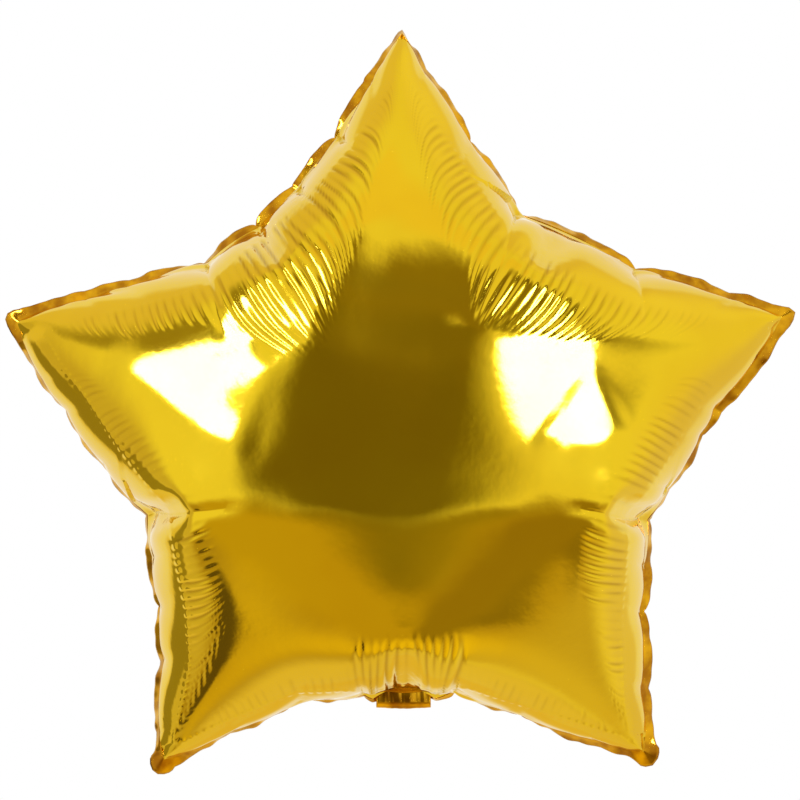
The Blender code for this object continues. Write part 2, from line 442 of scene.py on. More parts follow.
def distances(line):
    # from the line's first corner to each corner, along the line
    return np.r_[0, np.cumsum(np.linalg.norm(np.diff(line, axis=0), axis=1))]


def pointsAlong(line, ticks):
    # the points that lie those distances along the line
    lengths = distances(line)
    return np.c_[np.interp(ticks, lengths, line[:, 0]), np.interp(ticks, lengths, line[:, 1])]


def between(ends, places):
    # for each place, the number of the end before it, and its share of the way to the next end
    index = np.clip(np.searchsorted(ends, places, side="right") - 1, 0, len(ends) - 2)
    return index, (places - ends[index]) / (ends[index + 1] - ends[index])


def ringFaces(rings, count, close=False):
    # the faces between rings of count points, one ring after the other; close joins the last to the first
    faces = []
    index = np.arange(count)
    after = (index + 1) % count
    for k in range(rings if close else rings - 1):
        first, second = k * count, (k + 1) % rings * count
        faces += np.c_[first + index, first + after, second + after, second + index].tolist()
    return faces


def meshed(points, loops):
    edges = []
    for start, count in loops:
        edges += [(start + k, start + (k + 1) % count) for k in range(count)]
    made = delaunay_2d_cdt([Vector(p) for p in points], edges, [], 0, 1e-9)
    spots = np.array([v[:] for v in made[0]])
    faces = np.array(made[2])
    a, b, c = (spots[faces[:, k]] for k in range(3))
    turn = (b[:, 0] - a[:, 0]) * (c[:, 1] - a[:, 1]) - (b[:, 1] - a[:, 1]) * (c[:, 0] - a[:, 0])
    return spots, np.where((turn > 0)[:, None], faces, faces[:, ::-1])


def fillBag():
    # Both films lie flat on each other, welded round the edge, and are blown up as cloth that doesn't stretch
    knot = film["knot"]
    outline = cutOutline()
    edge = widened(outline, film["border"])
    seam, _ = spaced(outline, knot)
    rim, _ = spaced(edge, knot)
    reach = np.abs(outline).max() + film["margin"]
    rows = np.arange(-reach, reach, knot * math.sqrt(3) / 2)
    lattice = np.array([(x + (knot / 2 if row % 2 else 0), z)
                        for row, z in enumerate(rows) for x in np.arange(-reach, reach, knot)])
    lattice = lattice[isInside(outline, lattice)]
    lattice = lattice[distanceTo(outline, lattice) > film["clearance"] * knot]
    spots, faces = meshed(np.r_[seam, lattice], [(0, len(seam))])
    faces = faces[isInside(outline, spots[faces].mean(1))]
    rimSpots, rimFaces = meshed(np.r_[seam, rim], [(0, len(seam)), (len(seam), len(rim))])
    middles = rimSpots[rimFaces].mean(1)
    rimFaces = rimFaces[isInside(edge, middles) & ~isInside(outline, middles)]

    ends, total = len(seam), len(spots)
    apart = np.minimum(1, distanceTo(outline, spots) / film["liftReach"]) * film["lift"]
    apart[:ends] = 0
    front = np.c_[spots[:, 0], -apart, spots[:, 1]]
    back = np.c_[spots[:, 0], apart, spots[:, 1]][ends:]
    border = np.c_[rimSpots[ends:, 0], 0 * rimSpots[ends:, 0], rimSpots[ends:, 1]]
    toBack = np.r_[np.arange(ends), total + np.arange(total - ends)]
    toBorder = np.r_[np.arange(ends), 2 * total - ends + np.arange(len(border))]
    vertices = np.r_[front, back, border]
    allFaces = np.r_[faces, toBack[faces][:, ::-1], toBorder[rimFaces]]
    mesh = bpy.data.meshes.new("bag")
    mesh.from_pydata(vertices.tolist(), [], allFaces.tolist())
    bag = newObject("bag", mesh)
    blown = bag.vertex_groups.new(name="blown")
    blown.add(list(range(2 * total - ends)), 1.0, "ADD")
    cloth = bag.modifiers.new("Cloth", "CLOTH")
    cloth.settings.mass = film["pointMass"]
    cloth.settings.vertex_group_pressure = "blown"
    cloth.settings.effector_weights.gravity = 0
    for name, value in clothRules.items():
        setattr(cloth.settings, name, value)
    cloth.collision_settings.use_collision = False
    cloth.collision_settings.use_self_collision = False
    cloth.point_cache.frame_start = 1
    cloth.point_cache.frame_end = film["frames"] + 1
    for moment in range(1, film["frames"] + 1):
        bpy.context.scene.frame_set(moment)
    filled = bag.evaluated_get(bpy.context.evaluated_depsgraph_get())
    places = np.empty(len(vertices) * 3, np.float32)
    filled.data.vertices.foreach_get("co", places)
    places = places.reshape(-1, 3).astype(float)
    bpy.context.scene.frame_set(1)
    bpy.data.objects.remove(bag)
    bpy.data.meshes.remove(mesh)
    return {"outline": outline, "seam": seam, "flat": spots,
            "front": places[:total], "back": np.r_[places[:ends], places[total:2 * total - ends]]}


def cutOutline():
    # the corners of the flat star, anticlockwise from the top tip
    corners = []
    for k in range(2 * flatCut["points"]):
        corners.append(polar(90 + k * 180 / flatCut["points"], flatCut["notch" if k % 2 else "tip"]))
    return np.array(corners)


def evenOut(bag):
    # The cloth's chance crumples differ from arm to arm. The mean of all turned and mirrored copies of both
    # films is the broad form that the gas gives the bag. The photo's own folds are laid over it later.
    flat = bag["flat"]
    total = np.zeros((len(flat), 3))
    for k in range(flatCut["points"]):
        angle = 2 * math.pi * k / flatCut["points"]
        turn = np.array([[math.cos(angle), -math.sin(angle)], [math.sin(angle), math.cos(angle)]])
        for mirror in (np.eye(2), np.diag([-1.0, 1.0])):
            change = turn @ mirror
            spacing = film["knot"] * film["calm"]
            nearest, value, _, _ = localFit(flat, flat @ change.T, spacing, near=40, spread=1.0)
            for name, side in (("front", 1), ("back", -1)):
                copy = blend(value, bag[name][nearest])
                total[:, [0, 2]] += copy[:, [0, 2]] @ change
                total[:, 1] += copy[:, 1] * side
    even = total / (4 * flatCut["points"])
    even[:len(bag["seam"]), 1] = 0
    # the mean lies a little flatter
    even[:, 1] *= (cadBox[1][1] - cadBox[0][1]) / 2 / np.abs(even[:, 1]).max()
    bag["front"] = even
    bag["back"] = even * np.array([1, -1, 1])


def nodePlaces(bag):
    # Where each node lies along the flat outline, ending with its length: the tips are the star's, the rest
    # follow their direction
    seamPlaces, length = outlinePlaces(bag["outline"], bag["seam"])
    line = bag["front"][:len(bag["seam"])][:, [0, 2]]
    lineAngles = np.unwrap(np.arctan2(line[:, 1], line[:, 0]))
    lineAngles = np.degrees(np.r_[lineAngles, lineAngles[0] + 2 * math.pi])
    lineAngles += 90 - lineAngles[0]
    arm = 360 / flatCut["points"]
    known, cutAngles, tips = [], [], 0
    for kind, angle in zip(nodeKinds, nodeAngles):
        if kind == "tip":
            known.append(angle)
            cutAngles.append(90 + arm * tips)
            tips += 1
        elif kind != "pinch" and kind != "tail":
            notch = 90 + arm * (tips - 0.5)
            known.append(angle)
            cutAngles.append(notch + (angle - notch) * flatCut["bunching"])
    cutAngle = np.interp(nodeAngles, known + [known[0] + 360], cutAngles + [450])
    places = np.interp(cutAngle, lineAngles, np.r_[seamPlaces, length])
    places[0] = 0
    return np.r_[places, length]


def seamTarget(bag, places):
    # Where the filled seam runs in the picture's plane, with a bow between each two nodes
    ring = closed(nodeSpots)
    index, share = between(nodePlaces(bag), places)
    a, b = ring[index], ring[index + 1]
    outward = np.c_[(b - a)[:, 1], -(b - a)[:, 0]]
    bow = film["bow"] * 4 * share * (1 - share)
    return a + (b - a) * share[:, None] + outward * bow[:, None]


def fitOutline(bag):
    # The even bag is bent in the plane of the picture so that its seam takes the photo's line
    count = len(bag["seam"])
    seamPlaces, _ = outlinePlaces(bag["outline"], bag["seam"])
    line = bag["front"][:count][:, [0, 2]]
    move = seamTarget(bag, seamPlaces) - line
    gap = np.linalg.norm(bag["front"][:, None, [0, 2]] - line[None], axis=2) + film["fitNear"]
    weight = gap ** film["fitPower"]
    field = weight @ move / weight.sum(1)[:, None]
    field[:count] = move
    for name in ("front", "back"):
        bag[name][:, [0, 2]] += field
    thickness = 2 * bag["back"][:, 1].max()
    print("bag filled:", len(bag["flat"]), "points a film, thickness", round(float(thickness), 4),
          "largest move", round(float(np.linalg.norm(move, axis=1).max()), 4))


# The fine surface of each film

grain = {
    "seamFine": 0.00095, # spacing along the filled seam where the film is gathered
    "seamPlain": 0.0018, # and elsewhere
    "rimDepth": 0.010,   # the band of rings, in from the seam
    "firstStep": 0.0006,
    "stepGrowth": 1.12,
    "fine": 0.0011,      # spacing further in, where the film is gathered or creased
    "plain": 3,          # elsewhere that many times as wide
    "leastRise": 0.00005,  # a gather or bead higher than this needs the fine spacing
    "leastCrease": 0.0012,  # and so does a crease deeper than this
    "leastStrength": 0.05,  # of the gathers, for the fine spacing along the seam
    "samples": 1200,     # along each side of the star, to space its points
    "latticeReach": 1.25,  # of the lattice's slanted axes, in reaches of a tip
    "clearance": 0.5,    # of the lattice from the rings, in its own spacings
}


def sideChains(bag):
    # the flat outline in five sides, each from tip to tip
    outline = bag["outline"]
    return [outline[[k, k + 1, (k + 2) % len(outline)]] for k in range(0, len(outline), 2)]


def seamColumns(bag):
    # The fine mesh's flat points on the seam, close together where the filled seam is gathered
    ends = nodePlaces(bag)
    band = np.array(gatherBands)
    points = []
    begin = 0.0
    for chain in sideChains(bag):
        side = distances(chain)[-1]
        places = np.linspace(0, side, grain["samples"])
        line = seamTarget(bag, begin + places)
        angle = np.interp(begin + places[1:], ends, ringAngles)
        gathered = np.interp(angle, band[:, 0], band[:, 4]) > grain["leastStrength"]
        spacing = np.where(gathered, grain["seamFine"], grain["seamPlain"])
        number = np.r_[0, np.cumsum(np.diff(distances(line)) / spacing)]
        total = round(number[-1])
        ticks = np.interp(np.arange(total) / total * number[-1], number, places)
        points.append(pointsAlong(chain, ticks))
        begin += side
    return np.concatenate(points)


def flatAngle(points):
    # direction of each flat point from the middle, in degrees, 90 at the top tip and growing anticlockwise
    return (np.degrees(np.arctan2(points[:, 1], points[:, 0])) - 90 + 1e-9) % 360 + 90


def flatLattice(bag, limit):
    # An even lattice inside the limit. It keeps every point where the filled film is gathered or creased.
    step, ratio = grain["fine"], grain["plain"]
    half = ratio * (int(grain["latticeReach"] * flatCut["tip"] / step / ratio) + 1)
    i, j = np.meshgrid(np.arange(-half, half + 1), np.arange(-half, half + 1), indexing="ij")
    spots = np.stack([(i + j / 2) * step, j * math.sqrt(3) / 2 * step], axis=2)
    knots = spots[::ratio, ::ratio]
    shape = knots.shape[:2]
    inside = isInside(bag["outline"], knots.reshape(-1, 2))
    nearest, value, _, _ = localFit(bag["flat"], knots.reshape(-1, 2)[inside], film["knot"])
    places = blend(value, bag["front"][nearest])
    field = gatherField(places)
    wanted = np.zeros(len(inside), bool)
    wanted[inside] = ((field["gatherRise"] + field["gatherBead"] > grain["leastRise"])
                      | (foldDepth(places) > grain["leastCrease"]))
    wanted = wanted.reshape(shape)
    for axis in (0, 1):
        wanted = wanted | np.roll(wanted, 1, axis=axis) | np.roll(wanted, -1, axis=axis)
    fine = np.repeat(np.repeat(wanted, ratio, axis=0), ratio, axis=1)[:2 * half + 1, :2 * half + 1]
    kept = fine | ((i % ratio == 0) & (j % ratio == 0))
    lattice = spots[kept]
    lattice = lattice[isInside(limit, lattice)]
    return lattice[distanceTo(limit, lattice) > grain["clearance"] * step]


def fineGrid(bag):
    # Points of the fine mesh in the flat cut: rings along the seam, then the lattice; and its faces
    columns = seamColumns(bag)
    count = len(columns)
    first, second = bag["outline"][:2]
    inset = abs(first[0] * second[1] - first[1] * second[0]) / np.linalg.norm(second - first)
    depths, step = [0.0], grain["firstStep"]
    while depths[-1] < grain["rimDepth"]:
        depths.append(depths[-1] + step)
        step *= grain["stepGrowth"]
    rings = [columns * (1 - depth / inset) for depth in depths]
    lattice = flatLattice(bag, bag["outline"] * (1 - depths[-1] / inset))
    faces = ringFaces(len(rings), count)
    _, inner = meshed(np.r_[rings[-1], lattice], [(0, count)])
    points = np.concatenate(rings + [lattice])
    inner = inner + (len(rings) - 1) * count
    middles = points[inner].mean(1)
    faces += inner[isInside(bag["outline"] * (1 - (depths[-1] - 1e-7) / inset), middles)].tolist()
    return {"columns": columns, "points": points, "faces": faces, "count": count}


def localFit(sources, targets, spacing, near=18, spread=1.05):
    # For each target, the sources next to it and the weights that give the value, and the slopes along
    # both flat directions, of a curved patch laid through them
    tree = kdtree.KDTree(len(sources))
    for k, point in enumerate(sources):
        tree.insert((point[0], point[1], 0), k)
    tree.balance()
    nearest = np.array([[found[1] for found in tree.find_n((x, z, 0), near)] for x, z in targets])
    spacing = np.broadcast_to(spacing, len(targets))
    gaps = (sources[nearest] - targets[:, None]) / spacing[:, None, None]
    x, z = gaps[..., 0], gaps[..., 1]
    terms = np.stack([np.ones_like(x), x, z, x * x, x * z, z * z], axis=2)
    weight = np.exp(-(x * x + z * z) / spread ** 2)
    weighted = terms * weight[..., None]
    square = np.einsum("nki,nkj->nij", weighted, terms) + 1e-9 * np.eye(6)
    solved = np.linalg.solve(square, weighted.transpose(0, 2, 1))
    return nearest, solved[:, 0], solved[:, 1] / spacing[:, None], solved[:, 2] / spacing[:, None]


def outlinePlaces(outline, points):
    # how far along the outline the place next to each point lies, and the outline's length
    starts = distances(closed(outline))
    _, stretch, share, _ = nearestOn(closed(outline), points)
    return starts[stretch] + share * np.diff(starts)[stretch], starts[-1]


gathers = {
    "pitch": 0.0048,     # along the filled seam
    "rise": 0.00053,     # of the strongest ones
    "crest": (0.9, -0.14),    # shares of the pitch's own wave and of the one half as long
    "drift": (0.016, 0.060),  # size along and across the seam of the patches in which they wander
    "wander": 0.0016,
    "needle": (0.00624, 0.042),  # the same for the patches in which they swell and thin
    "needleSeed": 7.3,
    "needleSwell": (0.34, 0.58),
    "thinnest": 0.1,
    "beadRise": 0.00055, # of the bead along their outer ends
    "beadWidth": 0.0013,
    "beadWave": (0.5, 0.6),
    "fanStep": 0.002,
    "fanPower": 6,
    "begins": (0.85, 1.25),  # shares of a band's start and end depth over which its gathers rise and fade
    "ends": (0.80, 1.05),
    "paintedShadePower": 2.0,  # how narrow the painted shade between two gathers is
    # how dark the painted shade is at the strongest gathers
    "paintedShadeStrength": 0.85,
}
# Where the seam carries gathers: direction in degrees, how many millimetres in they start and end, slant,
# strength, strength of the bead
gatherBands = [
    (92, 10, 20, 0, 0, 0), (98, 12, 26, 0.1, 0.6, 0.2), (103, 12, 33, 0.1, 1, 0.4),
    (108, 10, 43, 0.05, 1, 0.3), (113, 9, 57, 0, 1, 0.3), (120, 9, 72, 0, 1, 0.3), (128, 10, 80, 0, 1, 0.3),
    (137, 14, 76, 0, 0.9, 0.2), (140, 16, 40, 0, 0.4, 0.2), (144, 16, 34, 0, 0.6, 0.4),
    (154, 13, 30, 0, 0.6, 0.4), (159, 10, 20, 0, 0, 0), (172, 16, 26, 0, 0, 0.6), (176, 17, 28, 0, 0.4, 1),
    (188, 18, 34, 0, 0.4, 1), (195, 18, 36, 0, 0, 0.3), (199, 18, 38, 0, 0.3, 0.4), (203, 20, 43, 0, 0.8, 1),
    (222, 18, 42, 0, 0.8, 1), (229, 12, 26, 0, 0.2, 1), (236, 6, 16, 0, 0, 0.6), (240, 8, 18, 0, 0.2, 1),
    (257, 8, 18, 0, 0.3, 1), (260, 6, 30, 0, 0.3, 0.5), (262, 4, 40, 0, 0.9, 0.8), (280, 4, 40, 0, 0.9, 0.8),
    (283, 8, 20, 0, 0.2, 1), (302, 8, 18, 0, 0.3, 1), (306, 8, 14, 0, 0, 0), (312, 12, 22, 0, 0.3, 0.4),
    (320, 13, 24, 0, 0.8, 0.5), (327, 15, 42, 0, 0.8, 0.5), (337, 16, 44, 0, 0.7, 0.4),
    (341, 18, 40, 0, 0, 0.2), (347, 14, 36, 0, 0.6, 0.2), (360, 14, 34, 0, 0.6, 0.2), (368, 10, 30, 0, 0, 0),
    (384, 12, 30, 0, 0, 0), (392, 20, 42, 0, 0.4, 0), (399, 24, 58, 0, 0.9, 0), (421, 20, 72, 0, 0.9, 0),
    (424, 14, 50, 0, 0.5, 0.1), (438, 12, 40, 0, 0.7, 0.2), (445, 10, 24, 0, 0.2, 0.1),
    (448, 10, 18, 0, 0, 0),
]


def flatDepth(bag, points):
    # how far in from the seam each fine point lies in the flat cut, square to the line from tip to tip
    depth = np.zeros(len(points))
    side = ((flatAngle(points) - 90) * flatCut["points"] / 360).astype(int)
    for k, chain in enumerate(sideChains(bag)):
        along = (chain[-1] - chain[0]) / np.linalg.norm(chain[-1] - chain[0])
        inward = np.array([-along[1], along[0]])
        own = side == k
        ahead = (points[own] - chain[0]) @ along
        inset = np.interp(ahead, (chain - chain[0]) @ along, (chain - chain[0]) @ inward)
        depth[own] = (points[own] - chain[0]) @ inward - inset
    return np.maximum(depth, 0)


# Creases that run in from the seam: direction of their outer end, direction and reach of their inner end,
# and how deep the valley around them and the crease itself are
folds = [
    (139.2, 152.0, 0.106, 0.0020, 0.0034), (197.1, 203.0, 0.092, 0.0020, 0.0036),
    (261.3, 257.0, 0.118, 0.0010, 0.0026), (281.4, 287.5, 0.110, 0.0010, 0.0026),
    (341.1, 337.0, 0.090, 0.0020, 0.0036), (422.8, 417.7, 0.071, 0.0024, 0.0036),
    (102.5, 96.5, 0.149, 0.0006, 0.0024), (113.1, 106.0, 0.118, 0.0, 0.0020),
    (125.0, 127.3, 0.097, 0.0, 0.0026), (395.4, 382.7, 0.143, 0.0004, 0.0024),
]
foldShape = {
    "valley": 0.024,     # half width of the valley
    "crease": 0.0032,
    "fade": 1.1,
    "outside": 0.006,    # a crease still counts this far outside its outer end
    "closing": 0.016,    # both fade out over this depth towards the seam
}
pinches = {"depth": 0.0009, "length": 0.030, "width": 0.0022, "fade": 2.0}

# Low waves of the film: points as direction and reach, the height of the crest, and how far it falls off to
# the left and to the right. The first two are where the gathers of the upper panels end, the next two lie on
# the arms, and the last one sags across the belly between two creases.
ridges = [
    ([(150.0, 0.1035), (152.0, 0.0810), (133.5, 0.0710), (118.5, 0.0880), (107.5, 0.1130), (96.5, 0.1480)],
     0.0020, 0.011, 0.026),
    ([(75.0, 0.0620), (53.5, 0.0690), (42.5, 0.0760), (37.5, 0.0890), (29.5, 0.1010), (22.5, 0.1360)],
     0.0015, 0.011, 0.060),
    ([(165.4, 0.1721), (167.5, 0.1474), (170.6, 0.1286), (175.8, 0.1102), (179.9, 0.0940), (183.8, 0.0760)],
     0.0011, 0.040, 0.012),
    ([(9.5, 0.0727), (359.3, 0.0888), (360.1, 0.1058), (365.5, 0.1262)], 0.0012, 0.040, 0.012),
    ([(208.2, 0.0911), (222.2, 0.0564), (270.0, 0.0408), (318.8, 0.0576), (333.2, 0.0930)],
     0.0007, 0.010, 0.014),
]
ridgeEnd = 0.18  # share of its line over which each rises and falls


def ridgeHeight(places):
    # how far the film stands out at each fine point on the low waves
    risen = np.zeros(len(places))
    for line, height, leftReach, rightReach in ridges:
        chain = np.array([polar(angle, reach) for angle, reach in line])
        away, stretch, share, left = nearestOn(chain, places[:, [0, 2]])
        share = (stretch + share) / (len(chain) - 1)
        ends = soft(share, 0.0, ridgeEnd) * (1 - soft(share, 1 - ridgeEnd, 1.0))
        risen += height * np.exp(-(away / np.where(left, leftReach, rightReach)) ** 2) * ends
    return risen


def foldDepth(places):
    # How far the film is drawn in at each fine point by the creases and the pinches
    flat = places[:, [0, 2]]
    drawn = np.zeros(len(flat))

    def draw(first, last, fade, *shapes):
        length = np.linalg.norm(last - first)
        along = (last - first) / length
        run = (flat - first) @ along
        aside = np.abs((flat - first) @ np.array([-along[1], along[0]]))
        left = np.clip(1 - np.maximum(run, 0) / length, 0, 1) ** fade * (run > -foldShape["outside"])
        return sum(deep * left * np.exp(-(aside / width) ** power) for deep, width, power in shapes)

    for begin, angle, reach, valley, crease in folds:
        outer = polar(begin, np.interp(begin, nodeAngles, nodeReaches))
        drawn += draw(outer, polar(angle, reach), foldShape["fade"],
                      (valley, foldShape["valley"], 2), (crease, foldShape["crease"], 1))
    for kind, angle, reach in zip(nodeKinds, nodeAngles, nodeReaches):
        if kind in ("pinch", "shoulder"):
            drawn += draw(polar(angle, reach), polar(angle, reach - pinches["length"]), pinches["fade"],
                          (pinches["depth"], pinches["width"], 1))
    return drawn


def makeSurface(bag, grid, fit, name, seamLine):
    nearest, value, slopeX, slopeZ = fit
    places, alongX, alongZ = (blend(weights, bag[name][nearest]) for weights in (value, slopeX, slopeZ))
    count = grid["count"]
    # near the seam the film closes on the seam's own line
    gap = seamLine - places[:count]
    depth = grid["depth"]
    angle, columnAngle = flatAngle(grid["points"]), flatAngle(grid["columns"])
    gap = np.stack([np.interp(angle, columnAngle, gap[:, axis], period=360) for axis in range(3)], axis=1)
    places = places + gap * np.exp(-(depth / film["seamBlend"]) ** 2)[:, None]
    inward = unit(np.cross(alongX, alongZ))
    inward *= np.sign(inward[-1, 1]) * (1 if name == "front" else -1)
    edge = soft(depth, 0.0, foldShape["closing"])
    places = places + inward * ((foldDepth(places) - ridgeHeight(places)) * edge)[:, None]
    return places


def gatherField(places):
    # For each point: its place along the seam, its depth, and how high gathers and the bead rise there. The
    # place is a mean over the seam near by, so that gathers fan out from the seam's corners.
    plane = places[:, [0, 2]]
    place, length = outlinePlaces(nodeSpots, plane)
    depth = distanceTo(nodeSpots, plane)
    ticks, corners = spaced(nodeSpots, gathers["fanStep"])
    nodes = distances(closed(nodeSpots))
    tickPlaces = np.interp(np.arange(len(ticks)), np.r_[corners, len(ticks)], nodes)
    portion = 8000  # points at a time, to spare memory
    for start in range(0, len(plane), portion):
        part = slice(start, start + portion)
        away = ((plane[part, None] - ticks[None]) ** 2).sum(2) + gathers["fanStep"] ** 2
        weight = away ** (-gathers["fanPower"] / 2)
        step = (tickPlaces[None] - place[part, None] + length / 2) % length - length / 2
        place[part] += (weight * step).sum(1) / weight.sum(1)
    band = np.array(gatherBands) * np.array([1, 0.001, 0.001, 1, 1, 1])
    along = np.interp(band[:, 0], ringAngles, nodes)
    begin, end, slant, strength, bead = (np.interp(place, along, band[:, k]) for k in range(1, 6))
    begins = [begin * share for share in gathers["begins"]]
    ends = [end * share for share in gathers["ends"]]
    window = soft(depth, *begins) * (1 - soft(depth, *ends))
    return {"gatherPlace": place + slant * depth, "gatherDepth": depth,
            "gatherRise": gathers["rise"] * strength * window,
            "gatherBead": gathers["beadRise"] * bead * np.exp(-((depth - begin) / gathers["beadWidth"]) ** 2)}


def soft(value, low, high):
    share = np.clip((value - low) / (high - low), 0, 1)
    return share * share * (3 - 2 * share)


def gatherTree():
    tree = bpy.data.node_groups.new("gathers", "GeometryNodeTree")
    for name, kind, direction in (
        ("Geometry", "NodeSocketGeometry", "INPUT"), ("Pitch", "NodeSocketFloat", "INPUT"),
        ("Wander", "NodeSocketFloat", "INPUT"), ("Seed", "NodeSocketFloat", "INPUT"),
        ("Film", "NodeSocketMaterial", "INPUT"), ("Geometry", "NodeSocketGeometry", "OUTPUT"),
    ):
        tree.interface.new_socket(name, in_out=direction, socket_type=kind)
    board = Board(tree)
    given = board.node("NodeGroupInput")

    def attribute(name):
        made = board.node("GeometryNodeInputNamedAttribute", {"data_type": "FLOAT"}, {"Name": name})
        return board.out(made, "Attribute")

    place, depth = attribute("gatherPlace"), attribute("gatherDepth")
    rise, bead = attribute("gatherRise"), attribute("gatherBead")
    seed = board.out(given, "Seed")

    def cloud(size, number):
        spot = board.node("ShaderNodeCombineXYZ", {}, {"X": place / size[0], "Y": depth / size[1],
                                                       "Z": seed + number})
        return board.noise(board.out(spot), 1.0, 1.0)

    drift = (cloud(gathers["drift"], 0.0) - 0.5) * board.out(given, "Wander") * 2.0
    turn = (place + drift) / board.out(given, "Pitch") * (2 * math.pi)
    first, second = gathers["crest"]
    top, bottom = first + second, second - first
    wave = turn.cosine() * first + (turn * 2.0).cosine() * second
    spindle = cloud(gathers["needle"], gathers["needleSeed"]).ramp(*gathers["needleSwell"])
    swell = spindle * (1 - gathers["thinnest"]) + gathers["thinnest"]
    beadWave, beadMean = gathers["beadWave"]
    height = wave * rise * swell + bead * (wave * beadWave + beadMean)
    # Painted shade: a darker colour for the hollows between gathers, stored on each point
    paintedHollowShade = ((top - wave) / (top - bottom)) ** gathers["paintedShadePower"]
    paintedHollowShade = paintedHollowShade * rise * swell * (gathers["paintedShadeStrength"] / gathers["rise"])
    normal = board.node("GeometryNodeInputNormal")
    offset = board.node("ShaderNodeVectorMath", {"operation": "SCALE"},
                        {"Vector": board.out(normal), "Scale": height})
    moved = board.node("GeometryNodeSetPosition", {}, {"Geometry": board.out(given, "Geometry"),
                                                       "Offset": board.out(offset)})
    noted = board.node("GeometryNodeStoreNamedAttribute", {"data_type": "FLOAT", "domain": "POINT"},
                       {"Geometry": board.out(moved), "Name": "paintedHollowShade", "Value": paintedHollowShade})
    real = board.node("GeometryNodeRealizeInstances", {}, {"Geometry": board.out(noted)})
    painted = board.node("GeometryNodeSetMaterial", {}, {"Geometry": board.out(real),
                                                         "Material": board.out(given, "Film")})
    board.node("NodeGroupOutput", {}, {"Geometry": board.out(painted)})
    return tree


looks = {
    "film": ((0.88, 0.66, 0.045, 1), (0.93, 0.73, 0.055, 1)),
    # painted reflection: the welded border and the tail are the same film, painted darker amber for the dark
    # things they mirror
    "border": ((0.40, 0.16, 0.006, 1), (0.86, 0.50, 0.028, 1)),
    "toneSize": (14.0, 90.0),     # of the film's noise, and of the border's
    "toneRange": (0.3, 0.7),
    "paintedHollowShade": (0.42, 0.25, 0.008, 1),  # painted shade: the darker colour between two gathers stands for the film mirroring itself there
    "edgeTint": (1.0, 0.92, 0.55, 1),
    "roughness": (0.070, 0.105),  # of the film, and of the welded border
    "smears": 0.030,              # how much rougher it is in patches
    "smearSize": 26.0,
    "smearRange": (0.45, 0.75),
    "dimples": 0.00005,           # height of the film's fine unevenness
    "dimpleSize": 150.0,
    "coat": 0.45,
    "coatRoughness": 0.03,
    "cutScale": 1.8,              # of the UV map, from metres in the flat cut
}


def goldFilm(name, kind):
    number = ("film", "border").index(kind)
    material, board, place = newMaterial(name)
    tint = board.noise(place, looks["toneSize"][number], 3.0).ramp(*looks["toneRange"])
    # painted shade: the hollows between gathers take a darker colour
    valley = board.node("ShaderNodeAttribute", {"attribute_name": "paintedHollowShade"})
    colour = board.mixColour(board.out(valley, "Fac"), board.mixColour(tint, *looks[kind]), looks["paintedHollowShade"])
    smear = board.noise(place, looks["smearSize"], 4.0, 0.6).ramp(*looks["smearRange"])
    dimple = board.noise(place, looks["dimpleSize"], 2.0)
    bump = board.node("ShaderNodeBump", {}, {"Height": dimple, "Distance": looks["dimples"]})
    board.finish(board.node("ShaderNodeBsdfPrincipled", {}, {
        "Base Color": colour, "Metallic": 1.0, "Specular Tint": looks["edgeTint"],
        "Roughness": smear * looks["smears"] + looks["roughness"][number], "Coat Weight": looks["coat"],
        "Coat Roughness": looks["coatRoughness"], "Normal": board.out(bump)}))
    return material


def finishPiece(piece):
    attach(piece, "root")
    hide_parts("star_balloon")
    triangles = sum(len(face.vertices) - 2 for face in piece.data.polygons)
    print(piece.name, len(piece.data.vertices), "points,", triangles, "triangles")


def addFilm(name, places, faces, flat, data, tree, material, seed, flip):
    mesh = bpy.data.meshes.new(name)
    if flip:
        faces = [face[::-1] for face in faces]
    mesh.from_pydata((places + middle).tolist(), [], faces)
    for key, numbers in data.items():
        layer = mesh.attributes.new(key, "FLOAT", "POINT")
        layer.data.foreach_set("value", numbers.astype(np.float32))
    cut = mesh.uv_layers.new(name="cut")
    corner = np.empty(len(mesh.loops), np.int32)
    mesh.loops.foreach_get("vertex_index", corner)
    cut.data.foreach_set("uv", (flat[corner] * looks["cutScale"] + 0.5).astype(np.float32).ravel())
    mesh.shade_smooth()
    piece = newObject(name, mesh)
    modifier = piece.modifiers.new("gathers", "NODES")
    modifier.node_group = tree
    sockets = {item.name: item.identifier for item in tree.interface.items_tree if item.in_out == "INPUT"}
    given = {"Pitch": gathers["pitch"], "Wander": gathers["wander"], "Seed": seed, "Film": material}
    for key, value in given.items():
        modifier[sockets[key]] = value
    baked = bpy.data.meshes.new_from_object(piece.evaluated_get(bpy.context.evaluated_depsgraph_get()))
    piece.modifiers.remove(modifier)
    piece.data = baked
    bpy.data.meshes.remove(mesh)
    finishPiece(piece)


def addClosed(name, points, faces, material):
    # a closed piece from points seen from the star's middle, its faces turned outward
    mesh = bpy.data.meshes.new(name)
    mesh.from_pydata((points + middle).tolist(), [], faces)
    build = bmesh.new()
    build.from_mesh(mesh)
    bmesh.ops.recalc_face_normals(build, faces=build.faces)
    build.to_mesh(mesh)
    build.free()
    mesh.shade_smooth()
    mesh.materials.append(material)
    finishPiece(newObject(name, mesh))


